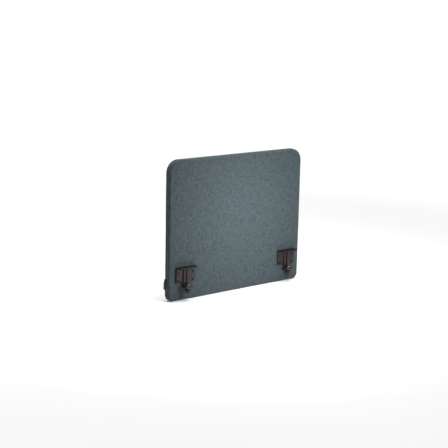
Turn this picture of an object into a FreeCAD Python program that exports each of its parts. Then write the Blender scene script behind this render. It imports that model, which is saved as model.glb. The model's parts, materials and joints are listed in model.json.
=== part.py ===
import FreeCAD, Part
import os
import re
import Sketcher
from FreeCAD import Placement, Rotation, Vector

# Desk privacy panel: an upholstered screen with two screw clamps for a desk edge.
# Frame: X along the width, the clamps on the -Y side, Z up. The origin is the
# centre of the panel's bottom edge. Millimetres.

DIMENSIONS = {
    "panel_width": 800,
    "panel_height": 650,
    "panel_depth": 36,
    "corner_radius": 58,
    "low_corner_radius": 30,
    "edge_radius": 7,
    "cover_thick": 1,
    "tape_thick": 0.6,
    "tape_width": 10,
    "padding_thick": 7,
    "member_width": 34,
    "block_width": 110,
    "block_top": 164,
    # the zip, which runs behind the middle of the panel's edge
    "zip_back": 5,
    "seam_gap": 3,
    "coil_width": 2.4,
    "zip_low": 94,
    "stop_tall": 4,
    "stop_proud": 0.8,
    "slider_low": 95.5,
    "slider_tall": 11,
    "slider_wide": 9,
    "slider_thick": 2.6,
    "slider_gap": 0.3,
    "slider_rounding": 0.8,
    "ear_thick": 1.6,
    "ear_margin": 0.7,
    "ear_ahead": 1.4,
    "ear_half_tall": 2.2,
    "ear_overlap": 0.5,
    "pull_wide": 11,
    "pull_thick": 4.4,
    "pull_low": 57,
    "pull_corner": 2.5,
    "pull_top_gap": 1.5,
    "pull_eye_radius": 1.9,
    "pull_eye_gap": 0.3,
    "pull_pin_gap": 0.25,
    "pull_neck_half": 0.9,
    "pull_neck_bite": 1.5,
    "pull_pin_up": 102,
    "pull_pin_out": 7.4,
    "pull_pin_radius": 0.8,
    # the bracket plate and what lies on it
    "clamp_offset": 310,
    "plate_width": 105,
    "plate_low": 86,
    "plate_top": 158,
    "plate_thick": 6,
    "plate_edge": 0.8,
    "plate_corner": 7,
    "plate_bend": 1.5,
    "flange_corner": 5,
    "backing_thick": 2,
    "backing_side": 1,
    "backing_top": 2,
    "jaw_pad_side": 4,
    "jaw_pad_ends": 2,
    "flange_reach": 33,
    "flange_thick": 4,
    "jaw_pad_thick": 2,
    "screw_span": 82,
    "screw_rise": 37,
    "screw_low": 94,
    "screw_radius": 2.45,
    "screw_length": 30,
    "screw_hole_radius": 2.75,
    "screw_head_radius": 4.75,
    "screw_head_tall": 2.7,
    "socket_radius": 1.715,
    "socket_deep": 1.62,
    "insert_radius": 4,
    "insert_length": 15,
    # the guide rail
    "rail_width": 31,
    "rail_web_width": 20,
    "rail_web_thick": 2.6,
    "rail_head_thick": 3.4,
    "rail_rounding": 2.6,
    "rail_edge": 0.5,
    "rail_groove_width": 7,
    "rail_groove_deep": 2.2,
    "rail_low": 63,
    "rail_top": 145,
    "rail_screw_low": 94,
    "rail_screw_rise": 38,
    "rail_screw_radius": 2,
    "rail_screw_bite": 1.2,
    "end_stop_tall": 2,
    "end_stop_width": 37,
    # the sliding jaw and its screw
    "jaw_width": 41,
    "jaw_low": 63.3,
    "jaw_tall": 12,
    "jaw_front": 40,
    "jaw_back_gap": 0.5,
    "jaw_gap": 0.3,
    "jaw_corner": 3,
    "jaw_top_edge": 1,
    "spindle_out": 28.5,
    "spindle_radius": 4,
    "spindle_gap": 0.05,
    "spindle_low": 42.5,
    "spindle_top": 78.5,
    "nut_radius": 6.5,
    "nut_flange_radius": 8,
    "nut_flange_tall": 1.6,
    "foot_radius": 9,
    "foot_low": 75.8,
    "foot_tall": 3.9,
    "foot_rounding": 1,
    "foot_pad_radius": 8.5,
    "foot_pad_tall": 2,
    "knob_radius": 13.5,
    "knob_low": 39.5,
    "knob_tall": 16.7,
    "knob_collar_radius": 8,
    "knob_collar_tall": 1.2,
    "knob_rounding": 2.2,
    "flute_radius": 2.6,
    "flute_out": 0.8,
    "flute_count": 8,
}

# Lengths that several pieces share, as formulas of the driving dimensions.
SHARED = {
    "front_face": "(-panel_depth / 2)",
    "frame_inset": "(cover_thick + tape_thick)",
    "frame_depth": "(panel_depth - 2 * cover_thick - 2 * padding_thick)",
    "inner_half": "(panel_width / 2 - cover_thick - tape_thick - member_width)",
    "inner_low": "(cover_thick + tape_thick + member_width)",
    "inner_top": "(panel_height - cover_thick - tape_thick - member_width)",
    "plate_back": "(-panel_depth / 2 - backing_thick)",
    "plate_front": "(-panel_depth / 2 - backing_thick - plate_thick)",
    "spindle_y": "(-panel_depth / 2 - spindle_out)",
}

doc = FreeCAD.newDocument("desk_privacy_panel")
sizes = doc.addObject("Spreadsheet::Sheet", "Sizes")
for row, (alias, size) in enumerate(DIMENSIONS.items(), start=1):
    sizes.set(f"A{row}", alias)
    sizes.set(f"B{row}", str(size))
    sizes.setAlias(f"B{row}", alias)
doc.recompute()

nodes = []
FULL_TURN = 360
LEAST_ANGLE = 0.6  # radians between two faces' normals, past which their edge is sharp
PROBE_STEP = 0.2


def formula(text):
    """The text with shared lengths written out and every alias pointed at the sheet."""
    for word, meaning in SHARED.items():
        text = re.sub(rf"\b{word}\b", meaning, text)
    return re.sub(r"\b[a-z_]{3,}\b", lambda found: "Sizes." + found.group(), text)


def bind(thing, sizes_of):
    for prop, text in sizes_of.items():
        thing.setExpression(prop, formula(str(text)))


def put(thing, x="0", y="0", z="0"):
    bind(thing, {"Placement.Base.x": x, "Placement.Base.y": y, "Placement.Base.z": z})


def keep(thing, label):
    """Marks an object as a finished piece, which is exported under its label."""
    thing.Label = label
    nodes.append(thing)
    return thing


# ---- Part primitives -------------------------------------------------------


def box(name, x, y, z):
    """A box from three (low, high) pairs of formulas."""
    solid = doc.addObject("Part::Box", name)
    sides = {"Length": x, "Width": y, "Height": z}
    bind(solid, {side: f"({high}) - ({low})" for side, (low, high) in sides.items()})
    put(solid, x[0], y[0], z[0])
    return solid


TOWARDS_Y = Rotation(Vector(1, 0, 0), -90)


def rod(name, radius, length, x, y, z, axis="Z"):
    """A cylinder that starts at x, y, z and runs along +Z, or along +Y."""
    solid = doc.addObject("Part::Cylinder", name)
    if axis == "Y":
        solid.Placement = Placement(Vector(), TOWARDS_Y)
    bind(solid, {"Radius": radius, "Height": length})
    put(solid, x, y, z)
    return solid


def fuse(name, *solids):
    whole = doc.addObject("Part::MultiFuse", name)
    whole.Shapes = list(solids)
    return whole


def cut(name, base, *tools):
    rest = doc.addObject("Part::Cut", name)
    rest.Base = base
    rest.Tool = tools[0] if len(tools) == 1 else fuse(name + "_tools", *tools)
    return rest


def group(name, solids):
    """Separate solids that share one piece's name."""
    together = doc.addObject("Part::Compound", name)
    together.Links = solids
    return together


# ---- PartDesign bodies -----------------------------------------------------


def body(name):
    return doc.addObject("PartDesign::Body", name)


def sketch(owner, name, plane, offset):
    """An empty sketch on one of the body's origin planes, moved along its normal."""
    drawing = owner.newObject("Sketcher::SketchObject", name)
    role = next(f for f in owner.Origin.OriginFeatures if f.Role == plane)
    drawing.AttachmentSupport = [(role, "")]
    drawing.MapMode = "FlatFace"
    bind(drawing, {"AttachmentOffset.Base.z": offset})
    return drawing


def fix(drawing, name, text, *constraint):
    """Adds a named constraint whose value is a formula."""
    kind, *rest = constraint
    index = drawing.addConstraint(Sketcher.Constraint(kind, *rest))
    drawing.renameConstraint(index, name)
    bind(drawing, {f"Constraints.{name}": text})


def rectangle(owner, name, plane, offset, across, up):
    """A sketched rectangle from two (low, high) pairs of formulas."""
    drawing = sketch(owner, name, plane, offset)
    corners = [Vector(-1, 1, 0), Vector(1, 1, 0), Vector(1, 2, 0), Vector(-1, 2, 0)]
    for i in range(4):
        line = Part.LineSegment(corners[i], corners[(i + 1) % 4])
        drawing.addGeometry(line, False)
    for i in range(4):
        drawing.addConstraint(Sketcher.Constraint("Coincident", i, 2, (i + 1) % 4, 1))
        kind = "Vertical" if i % 2 else "Horizontal"
        drawing.addConstraint(Sketcher.Constraint(kind, i))
    wide = f"({across[1]}) - ({across[0]})"
    tall = f"({up[1]}) - ({up[0]})"
    fix(drawing, "wide", wide, "DistanceX", 0, 1, 0, 2, 2.0)
    fix(drawing, "tall", tall, "DistanceY", 1, 1, 1, 2, 1.0)
    fix(drawing, "low_across", across[0], "DistanceX", -1, 1, 0, 1, -1.0)
    fix(drawing, "low_up", up[0], "DistanceY", -1, 1, 0, 1, 1.0)
    return drawing


def circle(owner, name, plane, offset, radius, across="0", up="0"):
    drawing = sketch(owner, name, plane, offset)
    ring = Part.Circle(Vector(1, 1, 0), Vector(0, 0, 1), 1)
    drawing.addGeometry(ring, False)
    fix(drawing, "radius", radius, "Radius", 0, 1.0)
    fix(drawing, "across", across, "DistanceX", -1, 1, 0, 3, 1.0)
    fix(drawing, "up", up, "DistanceY", -1, 1, 0, 3, 1.0)
    return drawing


def pad(owner, name, drawing, length, reverse=False):
    feature = owner.newObject("PartDesign::Pad", name)
    feature.Profile = drawing
    feature.Reversed = reverse
    bind(feature, {"Length": length})
    doc.recompute()
    return feature


def pocket(owner, name, drawing, length, reverse=False):
    """A pocket, which has to take material away."""
    before = owner.Shape.Volume
    feature = owner.newObject("PartDesign::Pocket", name)
    feature.Profile = drawing
    feature.Reversed = reverse
    bind(feature, {"Length": length})
    doc.recompute()
    if owner.Shape.Volume > before - 0.1:
        raise ValueError(f"{owner.Name}.{name} cuts nothing")
    return feature


def rounded(owner, name, radius, picks, kind="Fillet"):
    """Fillets or chamfers the edges of the body's tip that picks(edge) accepts."""
    tip = owner.Tip
    chosen = [f"Edge{i}" for i, e in enumerate(tip.Shape.Edges, 1) if picks(e)]
    feature = owner.newObject(f"PartDesign::{kind}", name)
    feature.Base = (tip, chosen)
    bind(feature, {"Radius" if kind == "Fillet" else "Size": radius})
    doc.recompute()
    return feature


def along(axis):
    """Picks straight edges that run along an axis."""

    def picks(edge):
        if len(edge.Vertexes) != 2 or edge.Curve.TypeId != "Part::GeomLine":
            return False
        step = edge.Vertexes[1].Point - edge.Vertexes[0].Point
        return abs(abs(step.normalize().dot(axis)) - 1) < 1e-6

    return picks


def upright_end(owner, end):
    """Picks the straight edges along Y in the top or the low half of a body."""
    middle = owner.Shape.BoundBox.Center.z
    straight = along(Vector(0, 1, 0))

    def picks(edge):
        return straight(edge) and (edge.BoundBox.Center.z > middle) == (end == "top")

    return picks


def level(axis, height):
    """Picks edges that lie whole in the plane at that height along an axis."""

    def picks(edge):
        bound = edge.BoundBox
        low, high = {
            "y": (bound.YMin, bound.YMax),
            "z": (bound.ZMin, bound.ZMax),
        }[axis]
        return high - low < 1e-4 and abs(low - height) < 1e-3

    return picks


def sharp(owner):
    """Picks the outward edges where two faces of the body's tip meet at an angle."""
    whole = owner.Tip.Shape

    def picks(edge):
        faces = whole.ancestorsOfType(edge, Part.Face)
        if len(faces) != 2:
            return False
        first, last = edge.ParameterRange
        middle = edge.valueAt((first + last) / 2)
        normals = [f.normalAt(*f.Surface.parameter(middle)) for f in faces]
        if normals[0].getAngle(normals[1]) < LEAST_ANGLE:
            return False
        out = (normals[0] + normals[1]).normalize() * PROBE_STEP
        within = whole.isInside(middle - out, 1e-4, False)
        return within and not whole.isInside(middle + out, 1e-4, False)

    return picks


def part_of(name, whole, space):
    """What a shape and a space have in common."""
    piece = doc.addObject("Part::Common", name)
    piece.Base = whole
    piece.Tool = space
    return piece


# ---- the panel -------------------------------------------------------------


def slab(name, inset, back, depth, edge=None, edge_at="front"):
    """The panel's outline, inset, from y = back towards -Y; one face may be rounded."""
    owner = body(name)
    across = (f"-(panel_width / 2 - ({inset}))", f"panel_width / 2 - ({inset})")
    up = (inset, f"panel_height - ({inset})")
    outline = rectangle(owner, name + "_outline", "XZ_Plane", "0", across, up)
    pad(owner, name + "_pad", outline, depth)
    for end, radius in (("top", "corner_radius"), ("low", "low_corner_radius")):
        rounded(owner, f"{name}_{end}_corners", f"{radius} - ({inset})", upright_end(owner, end))
    if edge:
        bound = owner.Shape.BoundBox
        face = bound.YMin if edge_at == "front" else bound.YMax
        rounded(owner, name + "_edge", edge, level("y", face))
    put(owner, y=back)
    return owner


def build_frame():
    half = "panel_width / 2"
    depth = ("-frame_depth / 2", "frame_depth / 2")
    top = "panel_height - corner_radius"
    straight = (f"-({half} - corner_radius)", f"{half} - corner_radius")
    upright = ("inner_low", top)
    high = ("inner_top", "panel_height - frame_inset")
    low = ("frame_inset", "inner_low")
    keep(box("top_rail", straight, depth, high), "frame_top_rail")
    keep(box("bottom_rail", ("-inner_half", "inner_half"), depth, low), "frame_bottom_rail")
    left = (f"-({half} - frame_inset)", "-inner_half")
    right = ("inner_half", f"{half} - frame_inset")
    keep(box("left_stile", left, depth, upright), "frame_left_stile")
    keep(box("right_stile", right, depth, upright), "frame_right_stile")
    corners = []
    for side, across in (("left", left), ("right", right)):
        # a quarter disc at the top, and a square with one round corner below
        middle, end = straight[0], f"-({half})"
        if side == "right":
            middle, end = straight[1], half
        radius = "corner_radius - frame_inset"
        disc = rod(side + "_disc", radius, "frame_depth", middle, "-frame_depth / 2", top, "Y")
        reach = (end, middle) if side == "left" else (middle, end)
        quarter = box(side + "_quarter", reach, depth, (top, "panel_height"))
        corners.append(part_of(side + "_top_corner", disc, quarter))
        square = box(side + "_square", across, depth, low)
        outline = slab(side + "_low_outline", "frame_inset", "frame_depth / 2", "frame_depth")
        corners.append(part_of(side + "_low_corner", outline, square))
    keep(group("corner_blocks", corners), "frame_corner_blocks")


def screw_places():
    """(x, z) of one bracket's four mounting screws, from the bracket's middle."""
    for x in ("-screw_span / 2", "screw_span / 2"):
        for z in ("screw_low", "screw_low + screw_rise"):
            yield x, z


def screw_rods(name, radius, start, length, sides=("left", "right")):
    """Rods along +Y at the mounting screws of the named brackets."""
    rods = []
    for side in sides:
        sign = "-1" if side == "left" else "1"
        for x, z in screw_places():
            place = f"{sign} * clamp_offset + {x}"
            rods.append(rod(f"{name}_{side}_{len(rods)}", radius, length, place, start, z, "Y"))
    return rods


def block_span(side):
    if side == "left":
        return ("-inner_half", "-(inner_half - block_width)")
    return ("inner_half - block_width", "inner_half")


def build_blocks_and_core():
    depth = ("-frame_depth / 2", "frame_depth / 2")
    spaces = []
    for side in ("left", "right"):
        across = block_span(side)
        up = ("corner_radius", "block_top")
        block = box(side + "_block", across, depth, up)
        start = "-frame_depth / 2"
        holes = screw_rods(side + "_insert_hole", "insert_radius", start, "insert_length", (side,))
        keep(cut(side + "_block_cut", block, *holes), side + "_mounting_block")
        inserts = []
        for i, (x, z) in enumerate(screw_places()):
            sign = "-1" if side == "left" else "1"
            place = f"{sign} * clamp_offset + {x}"
            name = f"{side}_insert_{i}"
            size = "insert_length"
            outer = rod(name + "_outer", "insert_radius", size, place, start, z, "Y")
            hole = rod(name + "_hole", "screw_radius + spindle_gap", size, place, start, z, "Y")
            inserts.append(cut(name, outer, hole))
        keep(group(side + "_inserts", inserts), side + "_insert_nuts")
        spaces.append(box(side + "_block_space", across, depth, up))
        reach = "panel_width / 2 - corner_radius"
        wide = ("-inner_half", f"-({reach})") if side == "left" else (reach, "inner_half")
        top = "panel_height - corner_radius"
        spaces.append(box(side + "_top_space", wide, depth, (top, "inner_top")))
    board = box("core_board", ("-inner_half", "inner_half"), depth, ("inner_low", "inner_top"))
    keep(cut("core_cut", board, *spaces), "acoustic_core")


def build_soft_layers():
    front = "front_face"
    inner = "padding_thick - cover_thick"
    # the padding lies between the frame and the cover
    padding = slab("front_padding_slab", "cover_thick", "-frame_depth / 2", "padding_thick", inner)
    holes = screw_rods("padding_hole", "screw_hole_radius", "front_face", "panel_depth / 2")
    keep(cut("front_padding_cut", padding, *holes), "front_padding")
    rear = slab("rear_padding_slab", "cover_thick", "panel_depth / 2 - cover_thick",
                "padding_thick", inner, "rear")
    keep(rear, "rear_padding")
    # each half of the cover wraps its face and the edge as far as the seam
    seam = "zip_back - seam_gap / 2"
    wrap = f"panel_depth / 2 + {seam}"
    skin = slab("front_cover_skin", "0", seam, wrap, "edge_radius")
    inside = slab("front_cover_inside", "cover_thick", seam, f"{wrap} - cover_thick",
                  "edge_radius - cover_thick")
    holes = screw_rods("cover_hole", "screw_hole_radius", f"{front} - cover_thick", "panel_depth / 4")
    keep(cut("front_cover_cut", skin, inside, *holes), "front_cover")
    wrap = "panel_depth / 2 - zip_back - seam_gap / 2"
    skin = slab("rear_cover_skin", "0", "panel_depth / 2", wrap, "edge_radius", "rear")
    inside = slab("rear_cover_inside", "cover_thick", "panel_depth / 2 - cover_thick",
                  f"{wrap} - cover_thick", "edge_radius - cover_thick", "rear")
    keep(cut("rear_cover_cut", skin, inside), "rear_cover")


def ring(name, inset, thick, wide):
    """A band round the panel's edge, centred on the line of the zip."""
    back = f"zip_back + ({wide}) / 2"
    outer = slab(name + "_outer", inset, back, wide)
    inner = slab(name + "_inner", f"{inset} + {thick}", back, wide)
    return cut(name + "_band", outer, inner)


def region(name, z):
    wide = ("-panel_width", "panel_width")
    return box(name, wide, ("-panel_depth", "panel_depth"), z)


def build_zip():
    keep(ring("tape", "cover_thick", "tape_thick", "tape_width"), "zip_tape")
    coil = ring("coil", "0", "cover_thick", "coil_width")
    above = region("above_stops", ("zip_low", "panel_height * 2"))
    keep(part_of("coil_run", coil, above), "zip_coil")
    strip = ring("strip", "0", "cover_thick", "seam_gap")
    below = region("below_stops", ("-panel_height", "zip_low - stop_tall"))
    keep(part_of("gusset_run", strip, below), "bottom_gusset")
    stops = []
    for side, sign in (("left", "-1"), ("right", "1")):
        edge = f"{sign} * panel_width / 2"
        outer = f"{edge} + {sign} * stop_proud"
        inner = f"{edge} - {sign} * cover_thick"
        across = (outer, inner) if side == "left" else (inner, outer)
        wide = ("zip_back - seam_gap / 2", "zip_back + seam_gap / 2")
        stops.append(box(side + "_stop", across, wide, ("zip_low - stop_tall", "zip_low")))
    keep(group("stops", stops), "zip_end_stops")


def build_slider():
    edge = "-panel_width / 2"
    inner = f"{edge} - slider_gap"
    outer = f"{inner} - slider_thick"
    pin_x = f"{edge} - pull_pin_out"
    owner = body("slider_body")
    across = (outer, inner)
    wide = ("-slider_wide / 2", "slider_wide / 2")
    base = rectangle(owner, "slider_plan", "XY_Plane", "slider_low", across, wide)
    pad(owner, "slider_pad", base, "slider_tall")
    rounded(owner, "slider_corners", "slider_rounding", along(Vector(1, 0, 0)))
    ears = []
    near = "-slider_wide / 2 + ear_margin"
    far = "slider_wide / 2 - ear_margin - ear_thick"
    for side, low in (("near", near), ("far", far)):
        reach = (f"{pin_x} - ear_ahead", f"{outer} + ear_overlap")
        up = ("pull_pin_up - ear_half_tall", "pull_pin_up + ear_half_tall")
        ears.append(box(side + "_ear", reach, (low, f"{low} + ear_thick"), up))
    length = "slider_wide - 2 * ear_margin"
    pin = rod("slider_pin", "pull_pin_radius", length, pin_x, near, "pull_pin_up", "Y")
    slider = fuse("slider_whole", owner, *ears, pin)
    put(slider, y="zip_back")
    keep(slider, "zip_slider")
    tab = body("pull_body")
    half = "pull_wide / 2"
    plan = rectangle(tab, "pull_plan", "YZ_Plane", f"{pin_x} - pull_thick / 2",
                     (f"-{half}", half), ("pull_low", "slider_low - pull_top_gap"))
    pad(tab, "pull_pad", plan, "pull_thick")
    rounded(tab, "pull_corners", "pull_corner", along(Vector(1, 0, 0)))
    eye_half = "(slider_wide / 2 - ear_margin - ear_thick - pull_eye_gap)"
    eye_wide = f"2 * {eye_half}"
    eye = rod("pull_eye", "pull_eye_radius", eye_wide, pin_x, f"-{eye_half}", "pull_pin_up", "Y")
    neck_thick = (f"{pin_x} - pull_neck_half", f"{pin_x} + pull_neck_half")
    neck_low = "slider_low - pull_top_gap - pull_neck_bite"
    neck = box("pull_neck", neck_thick, (f"-{eye_half}", eye_half), (neck_low, "pull_pin_up"))
    hole = rod("pull_eye_hole", "pull_pin_radius + pull_pin_gap", "slider_wide", pin_x,
               "-slider_wide / 2", "pull_pin_up", "Y")
    pull = cut("pull_cut", fuse("pull_whole", tab, eye, neck), hole)
    put(pull, y="zip_back")
    keep(pull, "zip_pull")


# ---- the brackets ----------------------------------------------------------


def rail_screws(name):
    """Two countersunk screws, driven from behind the plate into the rail."""
    screws = []
    for i, z in enumerate(("rail_screw_low", "rail_screw_low + rail_screw_rise")):
        length = "(plate_thick + rail_web_thick + rail_screw_bite)"
        shank = rod(f"{name}_shank_{i}", "rail_screw_radius", length, "0",
                    f"plate_back - {length}", z, "Y")
        head = doc.addObject("Part::Cone", f"{name}_head_{i}")
        head.Placement = Placement(Vector(), TOWARDS_Y)
        bind(head, {"Radius1": "rail_screw_radius", "Radius2": "rail_screw_radius * 2",
                    "Height": "rail_screw_radius"})
        put(head, "0", "plate_back - rail_screw_radius", z)
        screws.append(fuse(f"{name}_{i}", shank, head))
    return screws


def plate_shape(side):
    half = "plate_width / 2"
    across = (f"-{half}", half)
    owner = body(side + "_plate_body")
    face = rectangle(owner, side + "_plate_face", "XZ_Plane", "-(plate_back)",
                     across, ("plate_low", "plate_top"))
    pad(owner, side + "_plate_pad", face, "plate_thick")
    top = rectangle(owner, side + "_flange_plan", "XY_Plane", "plate_top - flange_thick", across,
                    ("plate_back - flange_reach", "plate_back - plate_thick / 2"))
    pad(owner, side + "_flange_pad", top, "flange_thick")
    rounded(owner, side + "_flange_corners", "flange_corner", front_edges(owner, along(Vector(0, 0, 1))))
    rounded(owner, side + "_plate_corners", "plate_corner", low_corners(owner))
    rounded(owner, side + "_plate_bend", "plate_bend", top_back(owner))
    rounded(owner, side + "_plate_edges", "plate_edge", sharp(owner))
    return owner


def front_edges(owner, picks):
    """Picks, of the edges that picks(edge) accepts, those furthest towards -Y."""
    reach = owner.Shape.BoundBox.YMin
    return lambda edge: picks(edge) and abs(edge.BoundBox.YMax - reach) < 0.01


def low_corners(owner):
    """Picks the two edges through the plate's thickness at its lower corners."""
    low = owner.Shape.BoundBox.ZMin
    through = along(Vector(0, 1, 0))
    return lambda edge: through(edge) and abs(edge.BoundBox.ZMax - low) < 0.01


def top_back(owner):
    """Picks the long edges at the top of the plate and of its jaw."""
    top = owner.Shape.BoundBox.ZMax
    long_way = along(Vector(1, 0, 0))
    return lambda edge: long_way(edge) and abs(edge.BoundBox.ZMin - top) < 0.01


def rail_shape(side):
    owner = body(side + "_rail_body")
    web = rectangle(owner, side + "_web_plan", "XY_Plane", "rail_low",
                    ("-rail_web_width / 2", "rail_web_width / 2"),
                    ("plate_front - rail_web_thick - 0.5", "plate_front"))
    pad(owner, side + "_web_pad", web, "rail_top - rail_low")
    head = rectangle(owner, side + "_head_plan", "XY_Plane", "rail_low",
                     ("-rail_width / 2", "rail_width / 2"),
                     ("plate_front - rail_web_thick - rail_head_thick",
                      "plate_front - rail_web_thick"))
    pad(owner, side + "_head_pad", head, "rail_top - rail_low")
    upright = along(Vector(0, 0, 1))
    rounded(owner, side + "_rail_rounding", "rail_rounding", front_edges(owner, upright))
    front = "(plate_front - rail_web_thick - rail_head_thick)"
    groove = rectangle(owner, side + "_groove_plan", "XY_Plane", "rail_low - 1",
                       ("-rail_groove_width / 2", "rail_groove_width / 2"),
                       (f"{front} - 1", f"{front} + rail_groove_deep"))
    pocket(owner, side + "_groove_cut", groove, "rail_top - rail_low + 2", reverse=True)
    rounded(owner, side + "_rail_edges", "rail_edge", sharp(owner))
    return owner


def jaw_shape(side):
    back = "plate_front - jaw_back_gap"
    front = "front_face - jaw_front"
    neck = "(rail_web_width / 2 + jaw_gap)"
    slot = "(rail_width / 2 + jaw_gap)"
    head_back = "plate_front - rail_web_thick + jaw_gap"
    head_front = "plate_front - rail_web_thick - rail_head_thick - jaw_gap"
    owner = body(side + "_jaw_body")
    plan = rectangle(owner, side + "_jaw_plan", "XY_Plane", "jaw_low",
                     ("-jaw_width / 2", "jaw_width / 2"), (front, back))
    pad(owner, side + "_jaw_pad", plan, "jaw_tall")
    upright = along(Vector(0, 0, 1))
    rounded(owner, side + "_jaw_corners", "jaw_corner", front_edges(owner, upright))
    rounded(owner, side + "_jaw_top", "jaw_top_edge", level("z", owner.Shape.BoundBox.ZMax))
    necked = rectangle(owner, side + "_jaw_neck", "XY_Plane", "jaw_low - 1",
                       (f"-{neck}", neck), (f"{head_back} - 1", f"{back} + 1"))
    pocket(owner, side + "_jaw_neck_cut", necked, "jaw_tall + 2", reverse=True)
    slotted = rectangle(owner, side + "_jaw_slot", "XY_Plane", "jaw_low - 1",
                        (f"-{slot}", slot), (head_front, head_back))
    pocket(owner, side + "_jaw_slot_cut", slotted, "jaw_tall + 2", reverse=True)
    bore = circle(owner, side + "_jaw_bore", "XY_Plane", "jaw_low - 1", "nut_radius", "0", "spindle_y")
    pocket(owner, side + "_jaw_bore_cut", bore, "jaw_tall + 2", reverse=True)
    rounded(owner, side + "_jaw_edges", "rail_edge", sharp(owner))
    return owner


def knob_shape(side):
    owner = body(side + "_knob_body")
    disc = circle(owner, side + "_knob_plan", "XY_Plane", "0", "knob_radius")
    pad(owner, side + "_knob_pad", disc, "knob_tall")
    rounded(owner, side + "_knob_edges", "knob_rounding",
            lambda edge: edge.Curve.TypeId == "Part::GeomCircle")
    flute = circle(owner, side + "_flute", "XY_Plane", "-1", "flute_radius", "knob_radius + flute_out")
    cutter = pocket(owner, side + "_flute_cut", flute, "knob_tall + 2", reverse=True)
    turned = owner.newObject("PartDesign::PolarPattern", side + "_flutes")
    turned.Originals = [cutter]
    turned.Angle = FULL_TURN
    bind(turned, {"Occurrences": "flute_count"})
    axis = next(f for f in owner.Origin.OriginFeatures if f.Role == "Z_Axis")
    turned.Axis = (axis, [""])
    owner.Tip = turned
    doc.recompute()
    collar = circle(owner, side + "_collar", "XY_Plane", "knob_tall", "knob_collar_radius")
    pad(owner, side + "_collar_pad", collar, "knob_collar_tall")
    bore = circle(owner, side + "_knob_bore", "XY_Plane", "spindle_low - knob_low", "spindle_radius")
    pocket(owner, side + "_knob_bore_cut", bore, "knob_tall", reverse=True)
    return owner


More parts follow.
